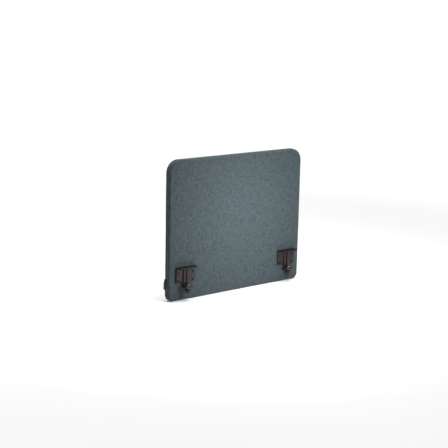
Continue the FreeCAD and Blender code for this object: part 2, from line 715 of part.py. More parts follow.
def build_bracket(side, sign):
    middle = f"{sign} * clamp_offset"

    def placed(thing, label):
        put(thing, middle)
        return keep(thing, label)

    screws = rail_screws(side + "_rail_screw")
    placed(group(side + "_rail_screw_pair", screws), side + "_rail_screws")
    cutters = rail_screws(side + "_plate_screw_space")
    holes = []
    for i, (x, z) in enumerate(screw_places()):
        name = f"{side}_plate_hole_{i}"
        holes.append(rod(name, "screw_hole_radius", "plate_thick + 2", x, "plate_front - 1", z, "Y"))
    placed(cut(side + "_plate_cut", plate_shape(side), *holes, *cutters), side + "_bracket_plate")
    cutters = rail_screws(side + "_rail_screw_space")
    placed(cut(side + "_rail_cut", rail_shape(side), *cutters), side + "_clamp_rail")

    backing_half = "(plate_width / 2 - backing_side)"
    backing = box(side + "_backing", (f"-{backing_half}", backing_half),
                  ("plate_back", "front_face"),
                  ("plate_low + backing_side", "plate_top - backing_top"))
    holes = []
    for i, (x, z) in enumerate(screw_places()):
        name = f"{side}_backing_hole_{i}"
        holes.append(rod(name, "screw_hole_radius", "backing_thick + 2", x, "plate_back - 1", z, "Y"))
    placed(cut(side + "_backing_cut", backing, *holes), side + "_backing_pad")
    under_half = "(plate_width / 2 - jaw_pad_side)"
    under = box(side + "_under_pad", (f"{middle} - {under_half}", f"{middle} + {under_half}"),
                ("plate_back - flange_reach + jaw_pad_ends", "plate_front - backing_side"),
                ("plate_top - flange_thick - jaw_pad_thick", "plate_top - flange_thick"))
    keep(under, side + "_upper_jaw_pad")

    screws = []
    for i, (x, z) in enumerate(screw_places()):
        name = f"{side}_mounting_screw_{i}"
        shank = rod(name + "_shank", "screw_radius", "screw_length", x, "plate_front", z, "Y")
        dome = doc.addObject("Part::Sphere", name + "_dome")
        dome_radius = "(screw_head_radius^2 + screw_head_tall^2) / (2 * screw_head_tall)"
        bind(dome, {"Radius": dome_radius})
        put(dome, x, f"plate_front - screw_head_tall + {dome_radius}", z)
        disc = rod(name + "_disc", "screw_head_radius", "screw_head_tall", x,
                   "plate_front - screw_head_tall", z, "Y")
        socket = doc.addObject("Part::Prism", name + "_socket")
        socket.Polygon = 6
        socket.Placement = Placement(Vector(), TOWARDS_Y)
        bind(socket, {"Circumradius": "socket_radius", "Height": "socket_deep"})
        put(socket, x, "plate_front - screw_head_tall", z)
        head = part_of(name + "_head", disc, dome)
        screws.append(cut(name, fuse(name + "_whole", shank, head), socket))
    placed(group(side + "_mounting_screw_set", screws), side + "_mounting_screws")

    stop = box(side + "_stop_bar",
               (f"{middle} - end_stop_width / 2", f"{middle} + end_stop_width / 2"),
               ("plate_front - rail_web_thick - rail_head_thick", "plate_front"),
               ("rail_low - end_stop_tall", "rail_low"))
    keep(stop, side + "_rail_end_stop")

    placed(jaw_shape(side), side + "_lower_jaw")
    barrel = rod(side + "_nut_barrel", "nut_radius", "jaw_tall", "0", "spindle_y", "jaw_low")
    flange = rod(side + "_nut_flange", "nut_flange_radius", "nut_flange_tall", "0",
                 "spindle_y", "jaw_low - nut_flange_tall")
    thread = rod(side + "_nut_thread", "spindle_radius + spindle_gap", "jaw_tall * 2", "0",
                 "spindle_y", "jaw_low - jaw_tall / 2")
    nut = cut(side + "_nut_cut", fuse(side + "_nut_whole", barrel, flange), thread)
    placed(nut, side + "_jaw_nut")

    foot = body(side + "_foot_body")
    disc = circle(foot, side + "_foot_plan", "XY_Plane", "foot_low", "foot_radius", "0", "spindle_y")
    pad(foot, side + "_foot_pad_up", disc, "foot_tall")
    low = foot.Shape.BoundBox.ZMin
    rounded(foot, side + "_foot_edge", "foot_rounding", level("z", low))
    socket = circle(foot, side + "_foot_socket", "XY_Plane", "foot_low",
                    "spindle_radius + spindle_gap", "0", "spindle_y")
    pocket(foot, side + "_foot_socket_cut", socket, "spindle_top + spindle_gap - foot_low", reverse=True)
    placed(foot, side + "_pressure_foot")
    face = rod(side + "_foot_face", "foot_pad_radius", "foot_pad_tall", middle, "spindle_y",
               "foot_low + foot_tall")
    keep(face, side + "_foot_pad")

    spindle = rod(side + "_spindle", "spindle_radius", "spindle_top - spindle_low", middle,
                  "spindle_y", "spindle_low")
    keep(spindle, side + "_clamp_spindle")
    knob = knob_shape(side)
    put(knob, middle, "spindle_y", "knob_low")
    keep(knob, side + "_clamp_knob")


# ---- checks and files ------------------------------------------------------


def check():
    for thing in doc.Objects:
        if {"Invalid", "Error"} & set(thing.State):
            raise ValueError(f"{thing.Name} ({thing.Label}) is {thing.State}")
    for thing in nodes:
        shape = thing.Shape
        if shape.isNull() or not shape.isValid() or not shape.Solids:
            raise ValueError(f"{thing.Label} has no valid solid")
        if len(shape.Solids) > 1 and thing.TypeId != "Part::Compound":
            raise ValueError(f"{thing.Label} has come apart into {len(shape.Solids)} solids")


def export():
    os.makedirs("parts", exist_ok=True)
    for thing in nodes:
        thing.Shape.exportStep(f"parts/{thing.Label}.step")
        print(f"{thing.Label}: {len(thing.Shape.Solids)} solid(s), {thing.Shape.Volume:.0f} mm3")
    print(len(nodes), "pieces")


build_frame()
build_blocks_and_core()
build_soft_layers()
build_zip()
build_slider()
for bracket_side, bracket_sign in (("left", "-1"), ("right", "1")):
    build_bracket(bracket_side, bracket_sign)
doc.recompute()
check()
export()
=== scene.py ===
import json
import math

import bpy
import numpy as np
from mathutils import Matrix, Vector


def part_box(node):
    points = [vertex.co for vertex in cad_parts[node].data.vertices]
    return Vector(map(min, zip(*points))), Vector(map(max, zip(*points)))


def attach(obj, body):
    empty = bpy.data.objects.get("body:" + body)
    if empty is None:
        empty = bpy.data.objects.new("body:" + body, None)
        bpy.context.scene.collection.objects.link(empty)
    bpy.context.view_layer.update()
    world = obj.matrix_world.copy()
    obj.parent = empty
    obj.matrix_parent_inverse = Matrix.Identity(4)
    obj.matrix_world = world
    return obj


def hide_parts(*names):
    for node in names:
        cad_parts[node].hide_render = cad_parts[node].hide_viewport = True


# A desk privacy panel: a padded screen in a zip-off cloth cover, with two desk clamps.
# Metres, in the frame's own axes: X along the width, the clamps on the -Y side, Z up.

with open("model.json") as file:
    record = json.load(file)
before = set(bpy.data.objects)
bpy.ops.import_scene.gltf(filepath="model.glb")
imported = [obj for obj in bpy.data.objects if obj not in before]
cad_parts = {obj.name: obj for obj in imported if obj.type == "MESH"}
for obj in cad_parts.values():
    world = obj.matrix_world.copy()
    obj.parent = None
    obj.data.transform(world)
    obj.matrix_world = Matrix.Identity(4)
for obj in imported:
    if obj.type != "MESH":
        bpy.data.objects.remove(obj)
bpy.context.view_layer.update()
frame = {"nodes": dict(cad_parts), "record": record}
NODES = frame["nodes"]
SIDES = ("left", "right")
MM = 0.001

PANEL_LOW, PANEL_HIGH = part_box("front_cover")
REAR_LOW, REAR_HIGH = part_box("rear_cover")
PANEL_MIDDLE = (PANEL_LOW + REAR_HIGH) / 2
SEAM_FRONT = PANEL_HIGH.y
SEAM_REAR = REAR_LOW.y
SEAM_MIDDLE = (SEAM_FRONT + SEAM_REAR) / 2
SEAM_HALF = (SEAM_REAR - SEAM_FRONT) / 2
FRONT_DEPTH = -PANEL_LOW.y
CORNER_RADIUS = 58 * MM
LOW_CORNER_RADIUS = 30 * MM
HALF_WIDTH = (PANEL_HIGH.x - PANEL_LOW.x) / 2
HALF_HEIGHT = (PANEL_HIGH.z - PANEL_LOW.z) / 2

# ---- meshes ----------------------------------------------------------------


def link(name, mesh):
    piece = bpy.data.objects.new(name, mesh)
    bpy.context.scene.collection.objects.link(piece)
    return piece


def mesh_of(name, points, faces):
    mesh = bpy.data.meshes.new(name)
    mesh.from_pydata([tuple(p) for p in points], [], faces)
    mesh.update()
    return mesh


def points_of(mesh):
    flat = np.zeros(len(mesh.vertices) * 3, np.float32)
    mesh.vertices.foreach_get("co", flat)
    return flat.reshape(-1, 3).astype(float)


def move_points(mesh, points):
    mesh.vertices.foreach_set("co", np.asarray(points, np.float32).ravel())
    mesh.update()


def settle(piece, smooth=True):
    """Turns the piece, as its modifiers leave it, into a plain mesh."""
    evaluated = piece.evaluated_get(bpy.context.evaluated_depsgraph_get())
    mesh = bpy.data.meshes.new_from_object(evaluated)
    piece.modifiers.clear()
    piece.data = mesh
    mesh.name = piece.name
    mesh.polygons.foreach_set("use_smooth", [smooth] * len(mesh.polygons))
    mesh.update()
    return piece


# ---- shader helpers --------------------------------------------------------


class Finish:
    """A material under construction: each method adds one node and gives its output."""

    def __init__(self, name):
        self.material = bpy.data.materials.new(name)
        self.material.use_nodes = True
        self.nodes = self.material.node_tree.nodes
        self.links = self.material.node_tree.links
        self.shader = self.nodes["Principled BSDF"]

    def add(self, kind, settings=None, **inputs):
        node = self.nodes.new(kind)
        for key, value in (settings or {}).items():
            setattr(node, key, value)
        for key, value in inputs.items():
            socket = node.inputs[key.replace("_", " ")]
            if isinstance(value, bpy.types.NodeSocket):
                self.links.new(value, socket)
            else:
                socket.default_value = value
        return node

    def place(self, scale, uv=False):
        """Object or cloth coordinates, stretched by three factors, per metre."""
        source = self.add("ShaderNodeTexCoord").outputs["UV" if uv else "Object"]
        return self.add("ShaderNodeMapping", Vector=source, Scale=scale).outputs[0]

    def noise(self, where, scale=1.0, detail=3.0, rough=0.5):
        node = self.add("ShaderNodeTexNoise", Vector=where, Scale=scale, Detail=detail, Roughness=rough)
        return node.outputs["Fac"]

    def bands(self, where, direction):
        settings = {"wave_type": "BANDS", "bands_direction": direction}
        return self.add("ShaderNodeTexWave", settings, Vector=where, Scale=1.0).outputs["Fac"]

    def math(self, operation, a, b=0.0):
        node = self.nodes.new("ShaderNodeMath")
        node.operation = operation
        for socket, value in zip(node.inputs, (a, b)):
            if isinstance(value, bpy.types.NodeSocket):
                self.links.new(value, socket)
            else:
                socket.default_value = value
        return node.outputs[0]

    def span(self, value, low, high, to_low, to_high):
        node = self.add("ShaderNodeMapRange", Value=value)
        ends = {"From Min": low, "From Max": high, "To Min": to_low, "To Max": to_high}
        for key, number in ends.items():
            node.inputs[key].default_value = number
        return node.outputs[0]

    def blend(self, factor, first, second):
        node = self.add("ShaderNodeMix", {"data_type": "RGBA"})
        self.links.new(factor, node.inputs[0])
        for socket, colour in ((node.inputs[6], first), (node.inputs[7], second)):
            if isinstance(colour, bpy.types.NodeSocket):
                self.links.new(colour, socket)
            else:
                socket.default_value = (*colour, 1.0)
        return node.outputs[2]

    def bump(self, height, distance, strength=1.0, under=None):
        node = self.add("ShaderNodeBump", Height=height, Distance=distance, Strength=strength)
        if under is not None:
            self.links.new(under, node.inputs["Normal"])
        return node.outputs[0]

    def done(self, colour=None, rough=None, normal=None, **fixed):
        for key, output in (("Base Color", colour), ("Roughness", rough), ("Normal", normal)):
            if output is not None:
                self.links.new(output, self.shader.inputs[key])
        for key, value in fixed.items():
            self.shader.inputs[key.replace("_", " ")].default_value = value
        return self.material


def grey(value):
    return (value, value, value)


def tinted(colour, factor):
    return tuple(channel * factor for channel in colour)


# ---- materials -------------------------------------------------------------

WAVE_PERIOD = 2 * math.pi / 20  # the width of one band of a wave texture of scale 1
TAPE_RIBS = WAVE_PERIOD / (0.8 * MM)
WARM_YARN_DARK = (0.030, 0.035, 0.037)
WARM_YARN_LIGHT = (0.051, 0.059, 0.059)
YARN_DARKEST = 0.75
YARN_LIGHTEST = 1.27
SHADED_TOP_FACTOR = 0.12


def woven_cloth(name, colour, thread):
    """A plain weave of slubby two-tone yarn, on the piece's own cloth coordinates."""
    f = Finish(name)
    pitch = WAVE_PERIOD / thread
    warp = f.bands(f.place((pitch, pitch, 1), uv=True), "X")
    weft = f.bands(f.place((pitch, pitch, 1), uv=True), "Y")
    fibre = f.noise(f.place((900, 900, 1), uv=True), detail=4.0, rough=0.7)
    weft_slub = f.noise(f.place((26, 190, 1), uv=True), detail=3.0, rough=0.6)
    warp_slub = f.noise(f.place((190, 26, 1), uv=True), detail=3.0, rough=0.6)
    blot = f.noise(f.place((75, 75, 1), uv=True), detail=3.0, rough=0.6)
    hue = f.noise(f.place((130, 130, 1), uv=True), detail=2.0)
    slub = f.math("ADD", f.math("MULTIPLY", weft_slub, 0.36), f.math("MULTIPLY", warp_slub, 0.36))
    mottle = f.math("ADD", slub, f.math("MULTIPLY", blot, 0.28))
    weave = f.math("MAXIMUM", warp, weft)
    tone = f.span(mottle, 0.42, 0.58, 0.0, 1.0)
    cool = f.blend(tone, tinted(colour, YARN_DARKEST), tinted(colour, YARN_LIGHTEST))
    warm = f.blend(tone, WARM_YARN_DARK, WARM_YARN_LIGHT)
    yarn = f.blend(f.span(hue, 0.5, 0.66, 0.0, 0.5), cool, warm)
    gap = f.span(weave, 0.1, 0.6, 0.38, 0.0)
    shade = f.blend(gap, yarn, tinted(colour, 0.3))
    fuzz = f.bump(fibre, 0.12 * MM, 0.5)
    relief = f.bump(weave, 0.3 * MM, 0.8, under=fuzz)
    lumps = f.bump(mottle, 0.5 * MM, 0.5, under=relief)
    rough = f.span(fibre, 0.3, 0.7, 0.82, 0.98)
    return f.done(shade, rough, lumps, Specular_IOR_Level=0.2,
                  Sheen_Weight=0.2, Sheen_Roughness=0.4, Sheen_Tint=(0.7, 0.85, 0.9, 1.0))


def woven_tape(name, colour):
    """Close black ribbing, as on a zip's tape; it needs no cloth coordinates."""
    f = Finish(name)
    ribs = f.bands(f.place((TAPE_RIBS, TAPE_RIBS, TAPE_RIBS)), "DIAGONAL")
    fuzz = f.noise(f.place((1500, 1500, 1500)), detail=3.0)
    shade = f.blend(f.span(fuzz, 0.3, 0.7, 0.0, 1.0), tinted(colour, 0.7), tinted(colour, 1.5))
    rough = f.span(ribs, 0.0, 1.0, 0.75, 0.95)
    return f.done(shade, rough, f.bump(ribs, 0.15 * MM, 0.7), Specular_IOR_Level=0.2, Sheen_Weight=0.2)


def painted_metal(name, colour, rough=0.42, shine=0.25, painted_shade_above=None):
    """Powder coat: a fine grain, a slow drift of gloss, and faint handling marks. Above a height, if
    one is given, it is painted nearly black: painted shade standing in for the dark reflection on the
    jaw's top."""
    f = Finish(name)
    grain = f.noise(f.place((2600, 2600, 2600)), detail=2.0)
    peel = f.noise(f.place((420, 420, 420)), detail=2.0)
    drift = f.noise(f.place((45, 45, 45)), detail=3.0)
    marks = f.noise(f.place((140, 140, 1400)), detail=5.0, rough=0.7)
    worn = f.span(marks, 0.62, 0.78, 0.0, 1.0)
    body = f.blend(f.span(drift, 0.35, 0.65, 0.0, 1.0), tinted(colour, 0.88), tinted(colour, 1.12))
    shade = f.blend(f.math("MULTIPLY", worn, 0.35), body, tinted(colour, 1.7))
    # Painted shade: above this height the coat is drawn nearly black, in place of the dark reflection
    # the jaw's top shows.
    if painted_shade_above:
        height = f.add("ShaderNodeSeparateXYZ", Vector=f.place((1, 1, 1))).outputs["Z"]
        above = f.span(height, painted_shade_above - 0.3 * MM, painted_shade_above + 0.3 * MM, 0.0, 1.0)
        shade = f.blend(above, shade, tinted(colour, SHADED_TOP_FACTOR))
    drifting = f.span(drift, 0.3, 0.7, rough - 0.07, rough + 0.07)
    gloss = f.math("ADD", drifting, f.math("MULTIPLY", worn, 0.1))
    relief = f.bump(grain, 0.03 * MM, 0.45, under=f.bump(peel, 0.08 * MM, 0.35))
    return f.done(shade, gloss, relief, Specular_IOR_Level=shine)


def moulded_plastic(name, colour, rough=0.5):
    f = Finish(name)
    spark = f.noise(f.place((1900, 1900, 1900)), detail=3.0, rough=0.65)
    cloud = f.noise(f.place((60, 60, 60)), detail=2.0)
    shade = f.blend(f.span(cloud, 0.3, 0.7, 0.0, 1.0), tinted(colour, 0.9), tinted(colour, 1.15))
    gloss = f.span(spark, 0.3, 0.7, rough - 0.08, rough + 0.1)
    return f.done(shade, gloss, f.bump(spark, 0.05 * MM, 0.6), Specular_IOR_Level=0.45)


def bright_metal(name, colour, rough, lines=(60, 60, 1800)):
    """Plated or machined metal, with fine turning or drawing lines."""
    f = Finish(name)
    drawn = f.noise(f.place(lines), detail=4.0, rough=0.6)
    haze = f.noise(f.place((110, 110, 110)), detail=3.0)
    shade = f.blend(f.span(haze, 0.3, 0.7, 0.0, 1.0), tinted(colour, 0.82), colour)
    gloss = f.span(drawn, 0.25, 0.75, rough - 0.08, rough + 0.1)
    return f.done(shade, gloss, f.bump(drawn, 0.03 * MM, 0.5), Metallic=1.0)


def soft_rubber(name, colour):
    f = Finish(name)
    skin = f.noise(f.place((1200, 1200, 1200)), detail=3.0)
    dust = f.noise(f.place((70, 70, 70)), detail=5.0, rough=0.7)
    shade = f.blend(f.span(dust, 0.4, 0.75, 0.0, 1.0), colour, tinted(colour, 2.0))
    rough = f.span(skin, 0.3, 0.7, 0.72, 0.92)
    return f.done(shade, rough, f.bump(skin, 0.06 * MM, 0.7), Specular_IOR_Level=0.3)


def pale_wood(name, light, dark):
    f = Finish(name)
    where = f.place((14, 240, 240))
    rings = f.noise(where, detail=6.0, rough=0.6)
    pores = f.noise(f.place((90, 2600, 2600)), detail=3.0)
    shade = f.blend(f.span(rings, 0.35, 0.68, 0.0, 1.0), light, dark)
    rough = f.span(pores, 0.3, 0.7, 0.55, 0.8)
    return f.done(shade, rough, f.bump(pores, 0.1 * MM, 0.6), Specular_IOR_Level=0.35)


def pressed_fibre(name, colour, flecks):
    """Felted board or foam: a mass of short fibres, or of small cells."""
    f = Finish(name)
    mass = f.noise(f.place((flecks, flecks, flecks)), detail=6.0, rough=0.75)
    patch = f.noise(f.place((22, 22, 22)), detail=3.0)
    mixed = f.math("ADD", f.math("MULTIPLY", mass, 0.7), f.math("MULTIPLY", patch, 0.3))
    shade = f.blend(f.span(mixed, 0.35, 0.65, 0.0, 1.0), tinted(colour, 0.65), tinted(colour, 1.3))
    rough = f.span(mass, 0.3, 0.7, 0.85, 1.0)
    return f.done(shade, rough, f.bump(mass, 0.4 * MM, 0.8), Specular_IOR_Level=0.2)


def twisted_thread(name, colour):
    f = Finish(name)
    twist = f.bands(f.place((900, 900, 900)), "DIAGONAL")
    shade = f.blend(twist, tinted(colour, 0.6), tinted(colour, 1.3))
    rough = f.span(twist, 0.0, 1.0, 0.6, 0.85)
    return f.done(shade, rough, f.bump(twist, 0.06 * MM, 0.6), Sheen_Weight=0.2)


CLOTH_COLOUR = (0.0342, 0.0478, 0.0530)
BRACKET_COLOUR = (0.0145, 0.0100, 0.0088)
# The jaw's top: above this height the bracket coat is painted nearly black as painted shade.
JAW_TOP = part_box("left_bracket_plate")[1].z - 3.2 * MM

FINISHES = {
    "cover_cloth": woven_cloth("cover_cloth", CLOTH_COLOUR, 1.3 * MM),
    "zip_cloth": woven_tape("zip_tape_weave", (0.012, 0.014, 0.015)),
    "zip_plastic": moulded_plastic("zip_plastic", (0.008, 0.008, 0.0085), 0.42),
    "zip_black_metal": painted_metal("black_lacquer", (0.007, 0.007, 0.0075), 0.36),
    "bracket_paint": painted_metal("bracket_powder_coat", BRACKET_COLOUR, 0.4, painted_shade_above=JAW_TOP),
    "black_screw": painted_metal("black_oxide", (0.0015, 0.0015, 0.0015), 0.5, 0.08),
    "zinc_steel": bright_metal("dark_zinc_plate", (0.31, 0.295, 0.30), 0.28),
    "bright_brass": bright_metal("brass", (0.72, 0.56, 0.30), 0.3),
    "black_rubber": soft_rubber("black_rubber", (0.006, 0.006, 0.006)),
    "knob_plastic": moulded_plastic("knob_plastic", (0.0050, 0.0047, 0.0043), 0.5),
    "frame_wood": pale_wood("frame_wood", (0.62, 0.45, 0.27), (0.42, 0.27, 0.14)),
    "core_board": pressed_fibre("acoustic_felt", (0.11, 0.115, 0.12), 420),
    "padding": pressed_fibre("padding_foam", (0.45, 0.46, 0.46), 900),
}
STITCH_THREAD = twisted_thread("stitch_thread", tinted(CLOTH_COLOUR, 1.1))


def dress_cad():
    """Gives every CAD node the finish of its own material slot."""
    for part in frame["record"]["subparts"]:
        node = NODES[part["node"]]
        node.data.materials.clear()
        node.data.materials.append(FINISHES[part["material_slot"]])


# ---- the panel's soft layers -----------------------------------------------

LATTICE = 10 * MM
CORNER_STEPS = 12
EDGE_RADIUS = 9.5 * MM
EDGE_STEPS = 7
FACE_RING = 8 * MM
CROWN = 1.3 * MM
CROWN_REACH = 60 * MM
PRESSED_REACH = 26 * MM
PRESS = 0.35 * MM
PILLOW = 0.55 * MM
PUFF_PRESSURE = 2.0
PUFF_STEPS = 18
MOST_PUFF = 0.9 * MM
CLOTH_THICKNESS = 0.9 * MM
PADDING_GAP = 1.1 * MM
PADDING_BACK = -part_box("front_padding")[1].y


def marks(low, high):
    """Evenly spaced places between two ends, about one lattice step apart."""
    count = max(2, round((high - low) / LATTICE))
    return np.linspace(low, high, count + 1)


ALONG_X = marks(PANEL_LOW.x + CORNER_RADIUS, PANEL_HIGH.x - CORNER_RADIUS)
ALONG_Z = marks(PANEL_LOW.z + CORNER_RADIUS, PANEL_HIGH.z - CORNER_RADIUS)


def low_corner(inset):
    """How far in from both edges a low corner's centre is: fixed in the round edge, and then
    moving in to the corner of the lattice."""
    moved = max(0.0, (inset - EDGE_RADIUS) / (CORNER_RADIUS - EDGE_RADIUS))
    return LOW_CORNER_RADIUS + (CORNER_RADIUS - LOW_CORNER_RADIUS) * moved


def spread(places, low, high):
    """The same number of places between two new ends."""
    return low + (places - places[0]) * (high - low) / (places[-1] - places[0])


def outline(inset):
    """(x, z) points round the panel, this far inside its edge: always the same number of them."""
    radius = CORNER_RADIUS - inset
    centre = low_corner(inset)
    left, right = ALONG_X[0], ALONG_X[-1]
    high = ALONG_Z[-1]
    low_left, low_right = PANEL_LOW.x + centre, PANEL_HIGH.x - centre
    low = PANEL_LOW.z + centre
    upright = spread(ALONG_Z, low, high)
    points = [(x, PANEL_LOW.z + inset) for x in spread(ALONG_X, low_left, low_right)[:-1]]
    points += arc(low_right, low, centre - inset, -90)
    points += [(right + radius, z) for z in upright[:-1]]
    points += arc(right, high, radius, 0)
    points += [(x, high + radius) for x in ALONG_X[:0:-1]]
    points += arc(left, high, radius, 90)
    points += [(left - radius, z) for z in upright[:0:-1]]
    points += arc(low_left, low, centre - inset, 180)
    return np.array(points)


def arc(x, z, radius, start):
    """The points of one round corner, without its last one."""
    turns = [math.radians(start + 90 * i / CORNER_STEPS) for i in range(CORNER_STEPS)]
    return [(x + radius * math.cos(a), z + radius * math.sin(a)) for a in turns]


def pads_near(points):
    """How far each (x, z) point is outside the nearest bracket's backing pad."""
    best = np.full(len(points), 10.0)
    for side in SIDES:
        low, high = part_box(f"{side}_backing_pad")
        dx = np.maximum(np.maximum(low.x - points[:, 0], points[:, 0] - high.x), 0)
        dz = np.maximum(np.maximum(low.z - points[:, 1], points[:, 1] - high.z), 0)
        best = np.minimum(best, np.hypot(dx, dz))
    return best


def eased(t):
    t = np.clip(t, 0, 1)
    return t * t * (3 - 2 * t)


def from_edge(points):
    """How far inside the panel's outline each (x, z) point is."""
    up = points[:, 1] - PANEL_MIDDLE.z
    radius = np.where(up < 0, LOW_CORNER_RADIUS, CORNER_RADIUS)
    x = np.abs(points[:, 0]) - (HALF_WIDTH - radius)
    z = np.abs(up) - (HALF_HEIGHT - radius)
    outside = np.hypot(np.maximum(x, 0), np.maximum(z, 0))
    return radius - outside - np.minimum(np.maximum(x, z), 0)


def crown(points, clamped):
    """How far the cloth stands off the flat: it swells towards the middle, and is pressed
    flat under each bracket, with a slight pillow round it."""
    swell = CROWN * (1 - np.exp(-(from_edge(points) - EDGE_RADIUS) / CROWN_REACH))
    if not clamped:
        return swell
    near = pads_near(points)
    ring = np.exp(-((near - 0.5 * PRESSED_REACH) / (0.35 * PRESSED_REACH)) ** 2)
    free = eased(near / PRESSED_REACH)
    return swell * free + PILLOW * ring * free - PRESS * (1 - free)


def profile(gap, seam):
    """(inset, depth, length of cloth past the face) from the face's rim round to the seam."""
    rows = []
    for i in range(1, EDGE_STEPS + 1):
        turn = math.pi / 2 * i / EDGE_STEPS
        inset = EDGE_RADIUS * (1 - math.sin(turn))
        rows.append((inset, FRONT_DEPTH - EDGE_RADIUS * (1 - math.cos(turn)), EDGE_RADIUS * turn))
    side = rows[-1][1]
    run = side - seam
    for depth, inset in ((seam + 0.8 * run, 0), (seam + 0.6 * run, 0), (seam + 1.1 * MM, 0),
                         (seam + 0.35 * MM, 0.2 * MM), (seam, 0.75 * MM)):
        rows.append((inset, depth, rows[-1][2] + rows[-1][1] - depth + inset))
    return [(inset + gap, depth, run) for inset, depth, run in rows]


def soft_half(name, clamped, seam, gap=0.0, back=None):
    """One half of the panel's soft outside, crowned: the face, its round edge and its side.
    It lies gap inside the cover's outside, and is closed at the depth back if that is given."""
    points, cloth, faces = [], [], []

    def add_row(outline_points, depths, cloth_points):
        first = len(points)
        points.extend((x, -d, z) for (x, z), d in zip(outline_points, depths))
        cloth.extend(map(tuple, cloth_points))
        return list(range(first, len(points)))

    def depth_at(places):
        return FRONT_DEPTH - gap + crown(places, clamped)

    places = np.array([(x, z) for x in ALONG_X for z in ALONG_Z])
    order = add_row(places, depth_at(places), places)
    grid = {(i, j): order[i * len(ALONG_Z) + j]
            for i in range(len(ALONG_X)) for j in range(len(ALONG_Z))}
    for i in range(len(ALONG_X) - 1):
        for j in range(len(ALONG_Z) - 1):
            faces.append((grid[i, j], grid[i + 1, j], grid[i + 1, j + 1], grid[i, j + 1]))

    last_i, last_j = len(ALONG_X) - 1, len(ALONG_Z) - 1
    ring = [grid[i, 0] for i in range(last_i)] + [grid[last_i, 0]] * CORNER_STEPS
    ring += [grid[last_i, j] for j in range(last_j)] + [grid[last_i, last_j]] * CORNER_STEPS
    ring += [grid[i, last_j] for i in range(last_i, 0, -1)] + [grid[0, last_j]] * CORNER_STEPS
    ring += [grid[0, j] for j in range(last_j, 0, -1)] + [grid[0, 0]] * CORNER_STEPS

    def strip(inner, outer):
        for a, b in zip(range(len(inner)), [*range(1, len(inner)), 0]):
            corners = [inner[a], outer[a], outer[b], inner[b]]
            faces.append(tuple(dict.fromkeys(corners)))
        return outer

    inset = CORNER_RADIUS - FACE_RING
    while inset > EDGE_RADIUS + 0.3 * FACE_RING:
        places = outline(inset)
        ring = strip(ring, add_row(places, depth_at(places), places))
        inset -= FACE_RING
    rim = outline(EDGE_RADIUS)
    ring = strip(ring, add_row(rim, depth_at(rim), rim))
    face_count = len(points)
    outward = outline(0) - rim
    outward /= np.linalg.norm(outward, axis=1)[:, None]
    for inset, depth, run in profile(gap, seam):
        if back is not None and depth < back:
            break
        places = outline(inset)
        ring = strip(ring, add_row(places, np.full(len(places), depth - gap), rim + outward * run))
    if back is not None:
        places = outline(gap)
        ring = strip(ring, add_row(places, np.full(len(places), back), rim + outward * (run + gap)))
        faces.append(tuple(reversed(ring)))
    piece = link(name, mesh_of(name, points, faces))
    uv = piece.data.uv_layers.new(name="cloth")
    for loop in piece.data.loops:
        uv.data[loop.index].uv = cloth[loop.vertex_index]
    return piece, face_count


def hang_cloth(piece):
    """Gives the piece a light, taut cloth that is pressed outwards from behind."""
    cloth = piece.modifiers.new("cloth", "CLOTH")
    settings = cloth.settings
    settings.quality = 5
    settings.mass = 0.25
    settings.tension_stiffness = 40
    settings.compression_stiffness = 40
    settings.shear_stiffness = 12
    settings.bending_stiffness = 1.5
    settings.vertex_group_mass = "held"
    settings.use_pressure = True
    settings.uniform_pressure_force = PUFF_PRESSURE
    settings.effector_weights.gravity = 0
    cloth.point_cache.frame_start = 1
    cloth.point_cache.frame_end = PUFF_STEPS
    return cloth


def swell(piece, free_count, clamped):
    """Lets the stretched cloth puff off its padding, with its round edge held still.
    No point moves further than MOST_PUFF, and none moves under a bracket."""
    rest = points_of(piece.data)
    held = piece.vertex_groups.new(name="held")
    held.add(list(range(free_count, len(rest))), 1.0, "REPLACE")
    cloth = hang_cloth(piece)
    scene = bpy.context.scene
    for step in range(1, PUFF_STEPS + 1):
        scene.frame_set(step)
    evaluated = piece.evaluated_get(bpy.context.evaluated_depsgraph_get())
    moved = points_of(evaluated.to_mesh()) - rest
    evaluated.to_mesh_clear()
    scene.frame_set(1)
    piece.modifiers.remove(cloth)
    places = rest[:, [0, 2]]
    free = eased((from_edge(places) - EDGE_RADIUS) / (4 * FACE_RING))
    if clamped:
        free *= eased(pads_near(places) / PRESSED_REACH - 0.25)
    length = np.linalg.norm(moved, axis=1)
    allowed = MOST_PUFF * np.tanh(length / MOST_PUFF) / np.maximum(length, 1e-9)
    move_points(piece.data, rest + moved * (allowed * free)[:, None])
    print(f"{piece.name}: the cloth moved by up to {length.max() / MM:.1f} mm")


def turned_round(piece):
    """Mirrors a front half into a rear one."""
    points = points_of(piece.data)
    points[:, 1] *= -1
    move_points(piece.data, points)
    piece.data.flip_normals()


def finished(piece, thickness):
    """Smooths a sheet of cloth and gives it its thickness, inwards."""
    smooth = piece.modifiers.new("smooth", "SUBSURF")
    smooth.levels = smooth.render_levels = 1
    wall = piece.modifiers.new("wall", "SOLIDIFY")
    wall.thickness = thickness
    wall.offset = -1
    return settle(piece)


def make_soft_layers():
    for which in ("front", "rear"):
        clamped = which == "front"
        seam = -SEAM_FRONT if which == "front" else SEAM_REAR
        foam, _ = soft_half(f"{which}_foam", clamped, seam, PADDING_GAP, PADDING_BACK)
        cover, free_count = soft_half(f"{which}_cloth", clamped, seam)
        swell(cover, free_count, clamped)
        if which == "rear":
            turned_round(foam)
            turned_round(cover)
        foam.data.materials.append(FINISHES["padding"])
        cover.data.materials.append(FINISHES["cover_cloth"])
        settle(foam)
        finished(cover, CLOTH_THICKNESS)
        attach(foam, "root")
        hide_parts(f"{which}_padding")
        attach(cover, "root")
        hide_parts(f"{which}_cover")


# ---- what repeats along a path ---------------------------------------------

